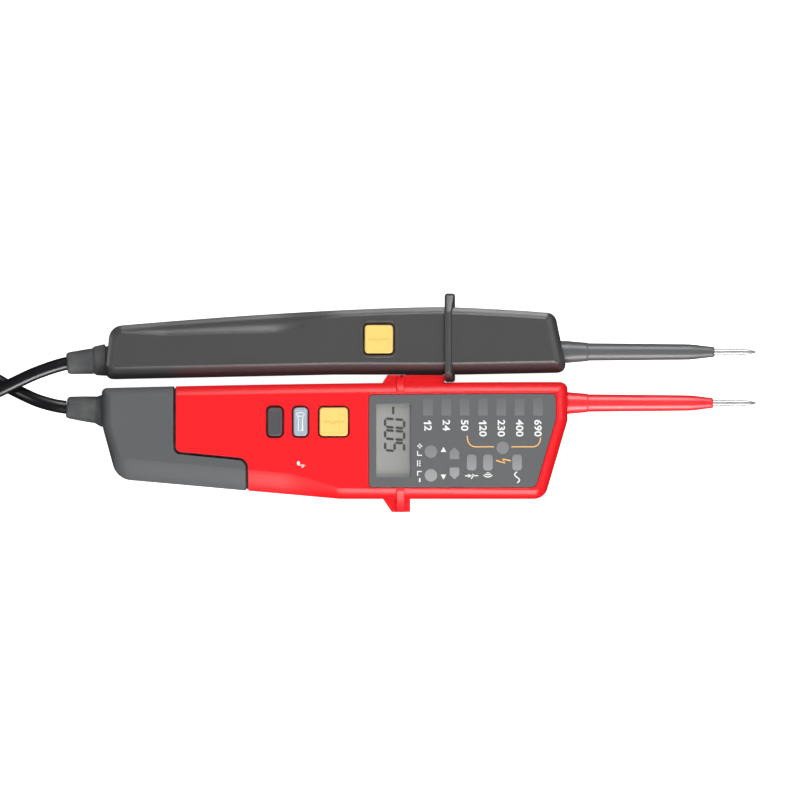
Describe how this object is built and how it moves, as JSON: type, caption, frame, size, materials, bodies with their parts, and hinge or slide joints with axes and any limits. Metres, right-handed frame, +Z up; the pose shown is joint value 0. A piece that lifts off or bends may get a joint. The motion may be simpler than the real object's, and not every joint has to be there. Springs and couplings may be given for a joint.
{
  "type": "two-pole voltage tester",
  "caption": "Two-pole voltage and continuity tester: main unit with display and probe, second probe unit docked along its side, one lead between them.",
  "frame": {"origin": "under the middle of the tester without its lead: halfway along its length and width, on the plane that its back lies on", "axes": "+X along the units, from the cord glands to the probe points; +Y from the main unit to the second unit; +Z up, out of the display"},
  "size_m": [0.4014, 0.0888, 0.031],
  "materials": {
    "red_plastic": "satin",
    "grey_cover_plastic": "fine texture",
    "panel_plastic": "smooth matt",
    "dark_plastic": "satin",
    "yellow_button": "satin",
    "torch_button_plastic": "satin",
    "hold_button_plastic": "satin",
    "display_glass": "clear over a grey display",
    "light_guide": "translucent",
    "white_plastic": "matt",
    "board": "solder mask",
    "black_plastic": "matt",
    "ceramic": "matt",
    "cell_jacket": "gloss",
    "steel": "turned",
    "brass": "stamped",
    "lens": "clear",
    "gland_rubber": "matt",
    "cord_rubber": "glossy sheath"
  },
  "bodies": {
    "main_unit": {"front_shell": "red_plastic", "back_shell": "red_plastic", "rear_cover": "grey_cover_plastic", "display_panel": "panel_plastic", "lcd_holder": "white_plastic", "lcd_glass": "display_glass", "voltage_lights": "light_guide", "signal_lights": "light_guide", "main_board": "board", "push_switches": "black_plastic", "buzzer": "black_plastic", "input_resistors": "ceramic", "batteries": "cell_jacket", "battery_springs": "steel", "battery_plates": "steel", "housing_screws": "steel", "probe_sleeve": "red_plastic", "probe_tip": "steel", "probe_clip": "brass", "torch_lens": "lens", "torch_lamp": "white_plastic", "cord_gland": "gland_rubber", "cord_main_run": "cord_rubber", "cord_aux_run": "cord_rubber", "cord_coil": "cord_rubber", "cord_tie": "cord_rubber"},
    "second_unit": {"aux_front_shell": "dark_plastic", "aux_back_shell": "dark_plastic", "finger_guard": "dark_plastic", "aux_board": "board", "aux_switch": "black_plastic", "aux_probe_sleeve": "dark_plastic", "aux_probe_tip": "steel", "aux_probe_clip": "brass", "aux_cord_gland": "gland_rubber", "aux_screws": "steel"},
    "test_key": {"test_button": "yellow_button", "test_plunger": "black_plastic"},
    "torch_key": {"torch_button": "torch_button_plastic", "torch_plunger": "black_plastic"},
    "hold_key": {"hold_button": "hold_button_plastic", "hold_plunger": "black_plastic"},
    "second_key": {"aux_button": "yellow_button", "aux_plunger": "black_plastic"},
    "battery_lid": {"battery_door": "dark_plastic", "door_screw": "steel"}
  },
  "joints": [
    {"name": "second_unit_slide", "type": "slide", "parent": "main_unit", "child": "second_unit", "axis": [1, 0, 0], "range_m": [0, 0.015]},
    {"name": "test_press", "type": "slide", "parent": "main_unit", "child": "test_key", "axis": [0, 0, -1], "range_m": [0, 0.0008], "stiffness_N_per_m": 150, "springref_m": -0.002},
    {"name": "torch_press", "type": "slide", "parent": "main_unit", "child": "torch_key", "axis": [0, 0, -1], "range_m": [0, 0.0008], "stiffness_N_per_m": 150, "springref_m": -0.002},
    {"name": "hold_press", "type": "slide", "parent": "main_unit", "child": "hold_key", "axis": [0, 0, -1], "range_m": [0, 0.0008], "stiffness_N_per_m": 150, "springref_m": -0.002},
    {"name": "second_press", "type": "slide", "parent": "second_unit", "child": "second_key", "axis": [0, 0, -1], "range_m": [0, 0.0008], "stiffness_N_per_m": 150, "springref_m": -0.002},
    {"name": "battery_lid_off", "type": "slide", "parent": "main_unit", "child": "battery_lid", "axis": [0, 0, -1], "range_m": [0, 0.02]}
  ]
}
